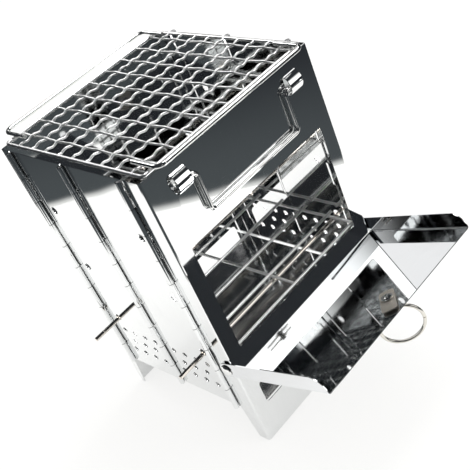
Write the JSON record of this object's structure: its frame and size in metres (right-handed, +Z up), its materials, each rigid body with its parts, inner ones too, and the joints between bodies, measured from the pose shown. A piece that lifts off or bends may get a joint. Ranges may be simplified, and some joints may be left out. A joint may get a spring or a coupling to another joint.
{
  "type": "folding charcoal grill",
  "caption": "Folding sheet steel fire box on its own feet, with a lift-off cooking net, charcoal grate on rods, fold-down fuel door with turn latch, and carrying bail.",
  "frame": {"origin": "middle of the front panel's foot edge, at mid sheet, on the surface it stands on", "axes": "+X to the right seen from the front, +Y to the rear, +Z up; the open fuel door reaches toward -Y"},
  "size_m": [0.179, 0.2401, 0.2266],
  "materials": {
    "mirror_steel": "stainless sheet, mirror polished",
    "bright_wire": "bright drawn stainless wire",
    "pin_steel": "plain steel wire, slightly dull",
    "rivet_steel": "polished rivets and washer"
  },
  "bodies": {
    "rear_body": {"rear_panel": "mirror_steel", "left_rear_hinge_pin": "pin_steel", "right_rear_hinge_pin": "pin_steel", "ash_plate": "mirror_steel"},
    "left_rear_body": {"left_rear_side": "mirror_steel", "left_middle_hinge_pin": "pin_steel"},
    "left_front_body": {"left_front_side": "mirror_steel"},
    "right_rear_body": {"right_rear_side": "mirror_steel", "right_middle_hinge_pin": "pin_steel"},
    "right_front_body": {"right_front_side": "mirror_steel"},
    "front_body": {"front_panel": "mirror_steel", "left_front_hinge_pin": "pin_steel", "right_front_hinge_pin": "pin_steel", "left_door_rivet": "rivet_steel", "right_door_rivet": "rivet_steel"},
    "door_body": {"fuel_door": "mirror_steel"},
    "latch_body": {"latch_tongue": "mirror_steel", "latch_washer": "rivet_steel", "latch_rivet": "rivet_steel", "ring_strap": "mirror_steel"},
    "ring_body": {"pull_ring": "bright_wire"},
    "bail_body": {"carrying_bail": "bright_wire"},
    "net_body": {"cooking_net": "bright_wire", "front_net_handle": "bright_wire", "rear_net_handle": "bright_wire"},
    "grate_body": {"charcoal_grate": "bright_wire"},
    "front_rod_body": {"front_support_rod": "bright_wire"},
    "rear_rod_body": {"rear_support_rod": "bright_wire"}
  },
  "joints": [
    {"name": "left_rear_fold", "type": "hinge", "parent": "rear_body", "child": "left_rear_body", "pos_m": [-0.0764, 0.1287, 0.029], "axis": [0, 0, 1], "range_deg": [0, 2]},
    {"name": "left_middle_fold", "type": "hinge", "parent": "left_rear_body", "child": "left_front_body", "pos_m": [-0.0764, 0.0727, 0.029], "axis": [0, 0, 1], "range_deg": [-4, 0]},
    {"name": "left_front_fold", "type": "hinge", "parent": "left_front_body", "child": "front_body", "pos_m": [-0.0764, 0.0167, 0.029], "axis": [0, 0, 1], "range_deg": [0, 2]},
    {"name": "right_rear_fold", "type": "hinge", "parent": "rear_body", "child": "right_rear_body", "pos_m": [0.0764, 0.1287, 0.029], "axis": [0, 0, 1], "range_deg": [-2, 0]},
    {"name": "right_middle_fold", "type": "hinge", "parent": "right_rear_body", "child": "right_front_body", "pos_m": [0.0764, 0.0727, 0.029], "axis": [0, 0, 1], "range_deg": [0, 4]},
    {"name": "door_swing", "type": "hinge", "parent": "front_body", "child": "door_body", "pos_m": [0, 0.0054, 0.0707], "axis": [-1, 0, 0], "range_deg": [0, 74]},
    {"name": "latch_turn", "type": "hinge", "parent": "door_body", "child": "latch_body", "pos_m": [0.003, -0.07414, 0.08726], "axis": [0, 0.2756, 0.9613], "range_deg": [-45, 45]},
    {"name": "ring_swing", "type": "hinge", "parent": "latch_body", "child": "ring_body", "pos_m": [-0.00025, -0.0782, 0.08489], "axis": [0.7071, -0.6797, 0.1949], "range_deg": [-70, 70]},
    {"name": "bail_swing", "type": "hinge", "parent": "front_body", "child": "bail_body", "pos_m": [0.0013, -0.0029, 0.205], "axis": [-1, 0, 0], "range_deg": [0, 145]},
    {"name": "net_lift", "type": "slide", "parent": "rear_body", "child": "net_body", "axis": [0, 0, 1], "range_m": [0, 0.05]},
    {"name": "grate_lift", "type": "slide", "parent": "rear_body", "child": "grate_body", "axis": [0, 0, 1], "range_m": [0, 0.125]},
    {"name": "front_rod_pull", "type": "slide", "parent": "rear_body", "child": "front_rod_body", "axis": [-1, 0, 0], "range_m": [0, 0.19]},
    {"name": "rear_rod_pull", "type": "slide", "parent": "rear_body", "child": "rear_rod_body", "axis": [-1, 0, 0], "range_m": [0, 0.19]}
  ],
  "couplings": [
    {"joint": "left_middle_fold", "follows": "left_rear_fold", "ratio": -2},
    {"joint": "left_front_fold", "follows": "left_rear_fold", "ratio": 1},
    {"joint": "right_rear_fold", "follows": "left_rear_fold", "ratio": -1},
    {"joint": "right_middle_fold", "follows": "left_rear_fold", "ratio": 2}
  ]
}
